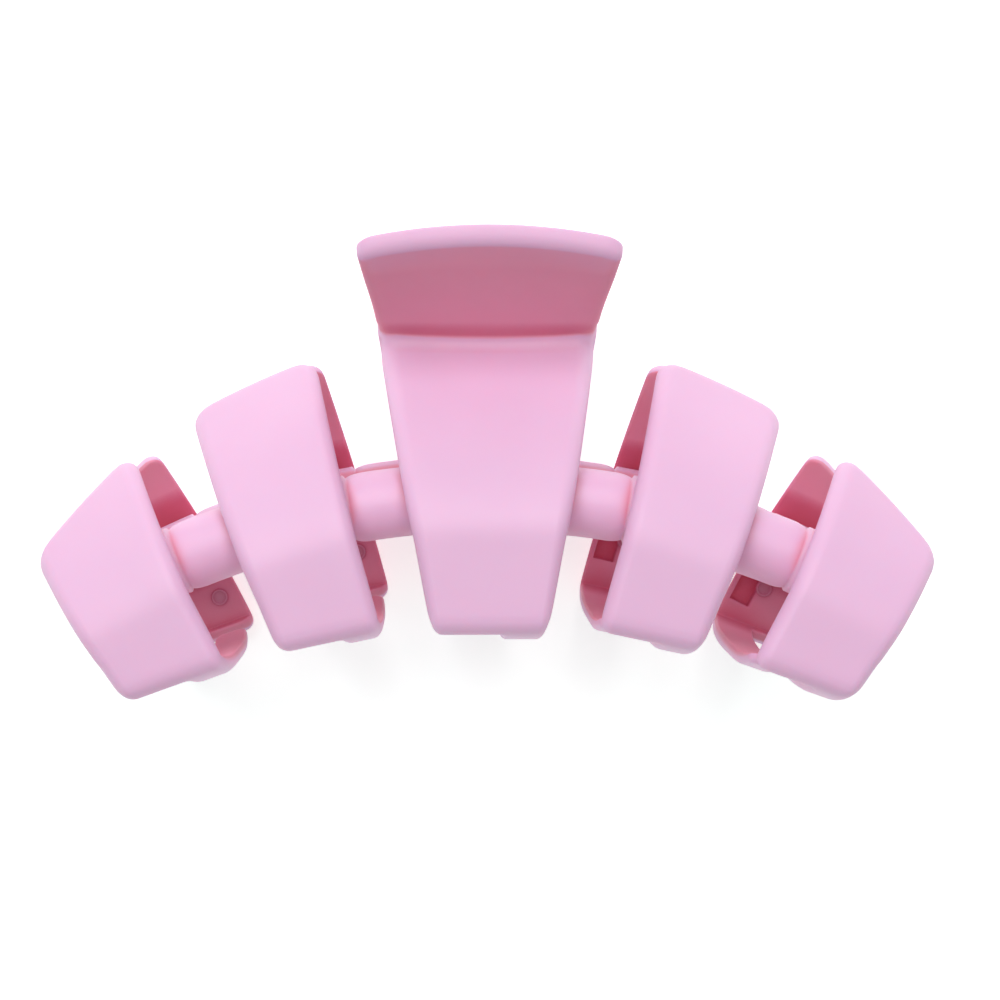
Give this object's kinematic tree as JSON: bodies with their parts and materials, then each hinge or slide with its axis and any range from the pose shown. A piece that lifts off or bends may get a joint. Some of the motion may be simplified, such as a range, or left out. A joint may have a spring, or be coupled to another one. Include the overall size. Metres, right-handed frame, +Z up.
{
  "type": "hair claw clip",
  "caption": "Claw clip with arched jaws of broad slabs strung on a rod, short curled teeth, flared thumb levers and a sprung hinge.",
  "frame": {"origin": "on the surface that the clip lies on, under the middle of its outline", "axes": "+X along the row of slabs, +Y from the teeth towards the thumb levers, +Z up, from the lower jaw to the upper jaw"},
  "size_m": [0.094, 0.0504, 0.044],
  "materials": {
    "jaw_plastic": "smooth matte, soft pink",
    "spring_steel": "bright drawn wire"
  },
  "bodies": {
    "lower_jaw": {"lower_centre_slab": "jaw_plastic", "lower_thumb_lever": "jaw_plastic", "lower_left_hinge_lug": "jaw_plastic", "lower_right_hinge_lug": "jaw_plastic", "lower_left_mid_slab": "jaw_plastic", "lower_left_outer_slab": "jaw_plastic", "lower_left_inner_bar": "jaw_plastic", "lower_left_outer_bar": "jaw_plastic", "lower_right_mid_slab": "jaw_plastic", "lower_right_outer_slab": "jaw_plastic", "lower_right_inner_bar": "jaw_plastic", "lower_right_outer_bar": "jaw_plastic", "hinge_pin": "spring_steel", "torsion_spring": "spring_steel"},
    "upper_jaw": {"upper_centre_slab": "jaw_plastic", "upper_thumb_lever": "jaw_plastic", "upper_left_hinge_lug": "jaw_plastic", "upper_right_hinge_lug": "jaw_plastic", "upper_left_mid_slab": "jaw_plastic", "upper_left_outer_slab": "jaw_plastic", "upper_left_inner_bar": "jaw_plastic", "upper_left_outer_bar": "jaw_plastic", "upper_right_mid_slab": "jaw_plastic", "upper_right_outer_slab": "jaw_plastic", "upper_right_inner_bar": "jaw_plastic", "upper_right_outer_bar": "jaw_plastic"}
  },
  "joints": [
    {"name": "jaw_hinge", "type": "hinge", "parent": "lower_jaw", "child": "upper_jaw", "pos_m": [0, 0.0104, 0.022], "axis": [-1, 0, 0], "range_deg": [0, 90], "stiffness_Nm_per_rad": 0.08, "springref_deg": -34.38, "deforming": ["torsion_spring"]}
  ]
}
